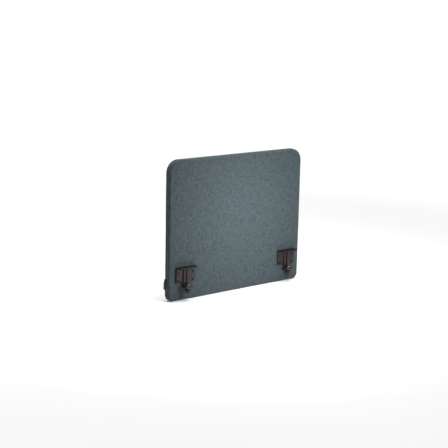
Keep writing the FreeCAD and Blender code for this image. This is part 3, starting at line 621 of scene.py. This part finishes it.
GUSSET_HALF = SEAM_HALF + 0.25 * MM
GUSSET_HEM = 4.5 * MM
HEM_DEEP = -1.0 * MM
GUSSET_SECTION = [(-GUSSET_HALF - GUSSET_HEM, HEM_DEEP), (-GUSSET_HALF - 0.3 * MM, HEM_DEEP),
                  (-GUSSET_HALF, -0.4 * MM), (-0.5 * GUSSET_HALF, -0.05 * MM), (0, 0.05 * MM),
                  (0.5 * GUSSET_HALF, -0.05 * MM), (GUSSET_HALF, -0.4 * MM),
                  (GUSSET_HALF + 0.3 * MM, HEM_DEEP), (GUSSET_HALF + GUSSET_HEM, HEM_DEEP)]
STRIP_THICKNESS = 0.4 * MM
STITCH_OFF = 2.6 * MM
SHADE_RIB_ENDS = 2 * MM
RIB_DEPTH = 1.5 * MM
GROOVE_DEEP = 2.2 * MM
RIDGE_RADIUS = 0.36 * MM
RIDGE_INSIDE = 0.35 * MM


def node_tree(name, sizes):
    """An empty geometry tree with a Path input and one named input for each size."""
    group = bpy.data.node_groups.new(name, "GeometryNodeTree")
    face = group.interface
    face.new_socket("Path", in_out="INPUT", socket_type="NodeSocketGeometry")
    for label, value in sizes.items():
        socket = face.new_socket(label, in_out="INPUT", socket_type="NodeSocketFloat")
        socket.default_value = value
    face.new_socket("Geometry", in_out="OUTPUT", socket_type="NodeSocketGeometry")
    return group, group.nodes.new("NodeGroupInput").outputs, group.nodes.new("NodeGroupOutput").inputs


def wire(group, kind, settings=None, **inputs):
    node = group.nodes.new(kind)
    for key, value in (settings or {}).items():
        setattr(node, key, value)
    for key, value in inputs.items():
        socket = node.inputs[key.replace("_", " ")]
        if isinstance(value, bpy.types.NodeSocket):
            group.links.new(value, socket)
        else:
            socket.default_value = value
    return node.outputs


def ended(group, instances, target, material):
    real = wire(group, "GeometryNodeRealizeInstances", Geometry=instances)["Geometry"]
    shown = wire(group, "GeometryNodeSetMaterial", Geometry=real, Material=material)["Geometry"]
    group.links.new(shown, target)


def grown(name, group, path_points, closed, sizes):
    """A plain mesh of what a tree makes along a line of points."""
    count = len(path_points)
    edges = [(i, i + 1) for i in range(count - 1)] + ([(count - 1, 0)] if closed else [])
    line = bpy.data.meshes.new(name)
    line.from_pydata([tuple(p) for p in path_points], edges, [])
    piece = link(name, line)
    modifier = piece.modifiers.new("grow", "NODES")
    modifier.node_group = group
    for item in group.interface.items_tree:
        if item.in_out == "INPUT" and item.name in sizes:
            modifier[item.identifier] = sizes[item.name]
    return settle(piece)


def spots_along(group, given):
    """Points a pitch apart along the tree's path."""
    curve = wire(group, "GeometryNodeMeshToCurve", Mesh=given["Path"])["Curve"]
    return wire(group, "GeometryNodeResampleCurve", {"mode": "LENGTH"}, Curve=curve,
                Length=given["Pitch"])["Curve"]


def coil_tree(material):
    """Round bars across the path, as a nylon zip's coil shows them."""
    sizes = {"Pitch": 1.4 * MM, "Bar radius": 0.45 * MM, "Bar length": 2.3 * MM}
    group, given, target = node_tree("zip_teeth", sizes)
    spots = spots_along(group, given)
    bar = wire(group, "GeometryNodeMeshCylinder", Vertices=8, Radius=given["Bar radius"],
               Depth=given["Bar length"])["Mesh"]
    laid = wire(group, "GeometryNodeInstanceOnPoints", Points=spots, Instance=bar,
                Rotation=(math.pi / 2, 0, 0))["Instances"]
    ended(group, laid, target["Geometry"], material)
    return group


def stitch_tree(material):
    """Short stitches end to end along the path."""
    sizes = {"Pitch": 3.4 * MM, "Stitch length": 2.7 * MM, "Thread radius": 0.32 * MM}
    group, given, target = node_tree("stitches", sizes)
    spots = spots_along(group, given)
    tangent = wire(group, "GeometryNodeInputTangent")["Tangent"]
    turned = wire(group, "FunctionNodeAlignRotationToVector", {"axis": "Z"}, Vector=tangent)["Rotation"]
    stitch = wire(group, "GeometryNodeMeshCylinder", Vertices=6, Side_Segments=3,
                  Radius=given["Thread radius"], Depth=given["Stitch length"])["Mesh"]
    laid = wire(group, "GeometryNodeInstanceOnPoints", Points=spots, Instance=stitch,
                Rotation=turned)["Instances"]
    ended(group, laid, target["Geometry"], material)
    return group


def edge_path(depth, inset):
    """The panel's outline at one depth, as points in space."""
    return [Vector((x, depth, z)) for x, z in outline(inset)]


def zip_path(low):
    """The part of the seam that the zip closes: up one side, over the top and down the other."""
    loop = edge_path(SEAM_MIDDLE, 0.5 * MM)
    start = min(range(len(loop)), key=lambda i: (loop[i].z, abs(loop[i].x)))
    ordered = [p for p in loop[start:] + loop[:start] if p.z > low]
    right = Vector((ordered[0].x, SEAM_MIDDLE, low))
    left = Vector((ordered[-1].x, SEAM_MIDDLE, low))
    return [right, *ordered, left]


def open_seam():
    """(place, outward) pairs round the part of the seam that the zip leaves open, right to left."""
    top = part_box("bottom_gusset")[1].z
    loop = outline(0)
    loop = np.roll(loop, -int(np.argmax(loop[:, 1])), axis=0)
    low = [Vector(place) for place in loop[loop[:, 1] < top]]
    line = [Vector((low[0].x, top)), *low, Vector((low[-1].x, top))]
    pairs = []
    for i, place in enumerate(line):
        along = line[min(i + 1, len(line) - 1)] - line[max(i - 1, 0)]
        out = Vector((along.y, -along.x)).normalized()
        if out.dot(place - Vector((0, PANEL_MIDDLE.z))) < 0:
            out = -out
        pairs.append((place, out))
    return pairs


def make_gusset():
    """The strip of cover cloth that closes the seam there, with a hem turned in at each side."""
    pairs = open_seam()
    runs = [0.0]
    for (before, _), (after, _) in zip(pairs, pairs[1:]):
        runs.append(runs[-1] + (after - before).length)
    across = [0.0]
    for before, after in zip(GUSSET_SECTION, GUSSET_SECTION[1:]):
        across.append(across[-1] + math.dist(before, after))
    points = [(place.x + out.x * rise, SEAM_MIDDLE + aside, place.y + out.y * rise)
              for place, out in pairs for aside, rise in GUSSET_SECTION]
    cloth = [(run, width) for run in runs for width in across]
    row = len(GUSSET_SECTION)
    faces = [(a, a + 1, a + row + 1, a + row) for i in range(len(pairs) - 1)
             for a in range(i * row, i * row + row - 1)]
    piece = link("bottom_strip", mesh_of("bottom_strip", points, faces))
    uv = piece.data.uv_layers.new(name="cloth")
    for corner in piece.data.loops:
        uv.data[corner.index].uv = cloth[corner.vertex_index]
    if piece.data.polygons[len(faces) // 2].normal.z > 0:
        piece.data.flip_normals()
    piece.data.materials.append(FINISHES["cover_cloth"])
    finished(piece, STRIP_THICKNESS)
    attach(piece, "root")
    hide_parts("bottom_gusset")


def make_zip():
    coil = coil_tree(FINISHES["zip_plastic"])
    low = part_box("zip_coil")[0].z
    teeth = grown("zip_teeth", coil, zip_path(low), False, {"Pitch": 1.4 * MM})
    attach(teeth, "root")
    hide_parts("zip_coil")
    stitches = stitch_tree(STITCH_THREAD)
    for which, sign in (("front", -1), ("rear", 1)):
        path = edge_path(SEAM_MIDDLE + sign * (SEAM_HALF + STITCH_OFF), -0.1 * MM)
        row = grown(f"{which}_seam_stitches", stitches, path, True, {"Pitch": 3.4 * MM})
        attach(row, "root")


def groove_shade_rib_tree(material):
    """Small cross ribs up a line. In the rail's groove they are a dark strip put there as painted shade
    for the groove's shadow.
    """
    sizes = {"Pitch": 2.0 * MM, "Rib width": 6.6 * MM, "Rib depth": RIB_DEPTH, "Rib height": 1.3 * MM}
    group, given, target = node_tree("groove_shade_ribs", sizes)
    spots = spots_along(group, given)
    size = wire(group, "ShaderNodeCombineXYZ", X=given["Rib width"], Y=given["Rib depth"],
                Z=given["Rib height"])
    rib = wire(group, "GeometryNodeMeshCube", Size=size["Vector"])["Mesh"]
    laid = wire(group, "GeometryNodeInstanceOnPoints", Points=spots, Instance=rib)["Instances"]
    ended(group, laid, target["Geometry"], material)
    return group


def make_groove_shade_ribs():
    # Painted shade: black ribs down each rail's groove, so that the groove reads as dark as its shadow.
    shade_rib_group = groove_shade_rib_tree(FINISHES["black_screw"])
    for side in SIDES:
        low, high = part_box(f"{side}_clamp_rail")
        x, y = (low.x + high.x) / 2, low.y + GROOVE_DEEP - RIB_DEPTH / 2
        line = [Vector((x, y, low.z + SHADE_RIB_ENDS)), Vector((x, y, high.z - SHADE_RIB_ENDS))]
        ribs = grown(f"{side}_groove_shade_ribs", shade_rib_group, line, False, {"Rib depth": RIB_DEPTH})
        bevel = ribs.modifiers.new("bevel", "BEVEL")
        bevel.width = 0.3 * MM
        bevel.segments = 1
        settle(ribs, smooth=False)
        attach(ribs, "root")


def worked_out(group, operation, first, second):
    """A sum inside a tree, of a given size and another size or number."""
    node = group.nodes.new("ShaderNodeMath")
    node.operation = operation
    group.links.new(first, node.inputs[0])
    if isinstance(second, bpy.types.NodeSocket):
        group.links.new(second, node.inputs[1])
    else:
        node.inputs[1].default_value = second
    return node.outputs[0]


def thread_tree(material):
    """A screw: a plain core with a helical ridge wound round it. The path isn't used."""
    sizes = {"Core radius": 3.4 * MM, "Thread radius": 3.98 * MM, "Pitch": 1.25 * MM, "Length": 20 * MM}
    group, given, target = node_tree("screw_thread", sizes)
    turns = worked_out(group, "DIVIDE", given["Length"], given["Pitch"])
    middle = worked_out(group, "SUBTRACT", given["Thread radius"], RIDGE_INSIDE)
    spiral = wire(group, "GeometryNodeCurveSpiral", Resolution=24, Rotations=turns,
                  Start_Radius=middle, End_Radius=middle, Height=given["Length"])["Curve"]
    ridge = wire(group, "GeometryNodeCurvePrimitiveCircle", Resolution=6, Radius=RIDGE_RADIUS)["Curve"]
    wound = wire(group, "GeometryNodeCurveToMesh", Curve=spiral, Profile_Curve=ridge,
                 Fill_Caps=True)["Mesh"]
    core = wire(group, "GeometryNodeMeshCylinder", Vertices=40, Radius=given["Core radius"],
                Depth=given["Length"])["Mesh"]
    half = worked_out(group, "MULTIPLY", given["Length"], 0.5)
    lift = wire(group, "ShaderNodeCombineXYZ", Z=half)["Vector"]
    raised = wire(group, "GeometryNodeTransform", Geometry=core, Translation=lift)["Geometry"]
    joined = group.nodes.new("GeometryNodeJoinGeometry")
    group.links.new(wound, joined.inputs[0])
    group.links.new(raised, joined.inputs[0])
    ended(group, joined.outputs[0], target["Geometry"], material)
    return group


def make_spindles():
    thread = thread_tree(FINISHES["zinc_steel"])
    for side in SIDES:
        low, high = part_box(f"{side}_clamp_spindle")
        screw = grown(f"{side}_threaded_spindle", thread, [low, low + Vector((0, 0, MM))], False,
                      {"Length": high.z - low.z})
        middle = (low + high) / 2
        screw.data.transform(Matrix.Translation((middle.x, middle.y, low.z)))
        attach(screw, f"{side}_screw")
        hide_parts(f"{side}_clamp_spindle")


# ---- the studio ------------------------------------------------------------

LENS = 93.95
CAMERA_AZIMUTH = math.radians(39.87)
CAMERA_PITCH = math.radians(11.67)
CAMERA_ROLL = math.radians(1.25)
CAMERA_DISTANCE = 5.5
CAMERA_AIM = Vector((-0.0476, 0.0236, -0.0073))
WHITE_WALL = (0.77, 0.64, 0.0)
DIM_WALL = 0.32
FLOOR_NEAR = 1.6
FLOOR_FAR = 3.2
FLOOR_HALF = 14
FLOOR_GREY = 0.78


def make_camera():
    forward = Vector((math.sin(CAMERA_AZIMUTH) * math.cos(CAMERA_PITCH),
                      math.cos(CAMERA_AZIMUTH) * math.cos(CAMERA_PITCH),
                      -math.sin(CAMERA_PITCH)))
    across = Vector((math.cos(CAMERA_AZIMUTH), -math.sin(CAMERA_AZIMUTH), 0))
    upward = across.cross(forward)
    right = across * math.cos(CAMERA_ROLL) + upward * math.sin(CAMERA_ROLL)
    above = upward * math.cos(CAMERA_ROLL) - across * math.sin(CAMERA_ROLL)
    camera = bpy.data.cameras.new("camera")
    camera.lens = LENS
    camera.clip_end = 100
    holder = bpy.data.objects.new("camera", camera)
    bpy.context.scene.collection.objects.link(holder)
    turn = Matrix((right, above, -forward)).transposed()
    place = PANEL_MIDDLE + CAMERA_AIM - forward * CAMERA_DISTANCE
    holder.matrix_world = Matrix.Translation(place) @ turn.to_4x4()
    bpy.context.scene.camera = holder


def soft_light(name, place, aim, size, power):
    light = bpy.data.lights.new(name, "AREA")
    light.shape = "DISK"
    light.size = size
    light.energy = power
    holder = bpy.data.objects.new(name, light)
    bpy.context.scene.collection.objects.link(holder)
    direction = Vector(aim) - Vector(place)
    turn = direction.to_track_quat("-Z", "Y").to_matrix().to_4x4()
    holder.matrix_world = Matrix.Translation(place) @ turn
    holder.visible_camera = False


def studio_walls():
    """White walls, and a dimmer one on the left, so that the panel's left edge lies in shade."""
    world = bpy.data.worlds.new("studio")
    world.use_nodes = True
    nodes, links = world.node_tree.nodes, world.node_tree.links
    where = nodes.new("ShaderNodeTexCoord")
    facing = nodes.new("ShaderNodeVectorMath")
    facing.operation = "DOT_PRODUCT"
    facing.inputs[1].default_value = WHITE_WALL
    links.new(where.outputs["Generated"], facing.inputs[0])
    level = nodes.new("ShaderNodeMapRange")
    for key, number in (("From Min", -0.55), ("From Max", 0.9), ("To Min", DIM_WALL), ("To Max", 1.0)):
        level.inputs[key].default_value = number
    level.interpolation_type = "SMOOTHSTEP"
    links.new(facing.outputs["Value"], level.inputs["Value"])
    links.new(level.outputs["Result"], nodes["Background"].inputs["Strength"])
    nodes["Background"].inputs["Color"].default_value = (1, 1, 1, 1)
    return world


def make_studio():
    scene = bpy.context.scene
    scene.view_settings.view_transform = "Standard"
    scene.world = studio_walls()
    soft_light("key", (0.04, -0.56, 0.41), (0.04, 0, 0.35), 0.34, 7.0)
    soft_light("overhead", (0.1, -0.2, 2.6), (0, 0, 0), 1.6, 74)
    soft_light("rear_fill", (-0.5, 2.4, 1.0), (0, 0, 0.3), 1.4, 32)
    corners = [(x * FLOOR_HALF, y * FLOOR_HALF, 0) for x, y in ((-1, -1), (1, -1), (1, 1), (-1, 1))]
    floor = link("floor", mesh_of("floor", corners, [(0, 1, 2, 3)]))
    # the floor is lit near the panel, and glows white further away
    f = Finish("pale_floor")
    away = f.add("ShaderNodeVectorMath", {"operation": "LENGTH"}, Vector=f.place((1, 1, 1)))
    glow = f.span(away.outputs["Value"], FLOOR_NEAR, FLOOR_FAR, 0.0, 1.0)
    lit = f.blend(glow, grey(0.0), grey(1.0))
    f.links.new(lit, f.shader.inputs["Emission Color"])
    shade = f.blend(glow, grey(FLOOR_GREY), grey(0.3))
    finish = f.done(shade, Roughness=0.7, Specular_IOR_Level=0.1, Emission_Strength=0.8)
    floor.data.materials.append(finish)
    floor.location.z = PANEL_LOW.z


dress_cad()
make_camera()
make_soft_layers()
make_gusset()
make_zip()
make_groove_shade_ribs()
make_spindles()
make_studio()
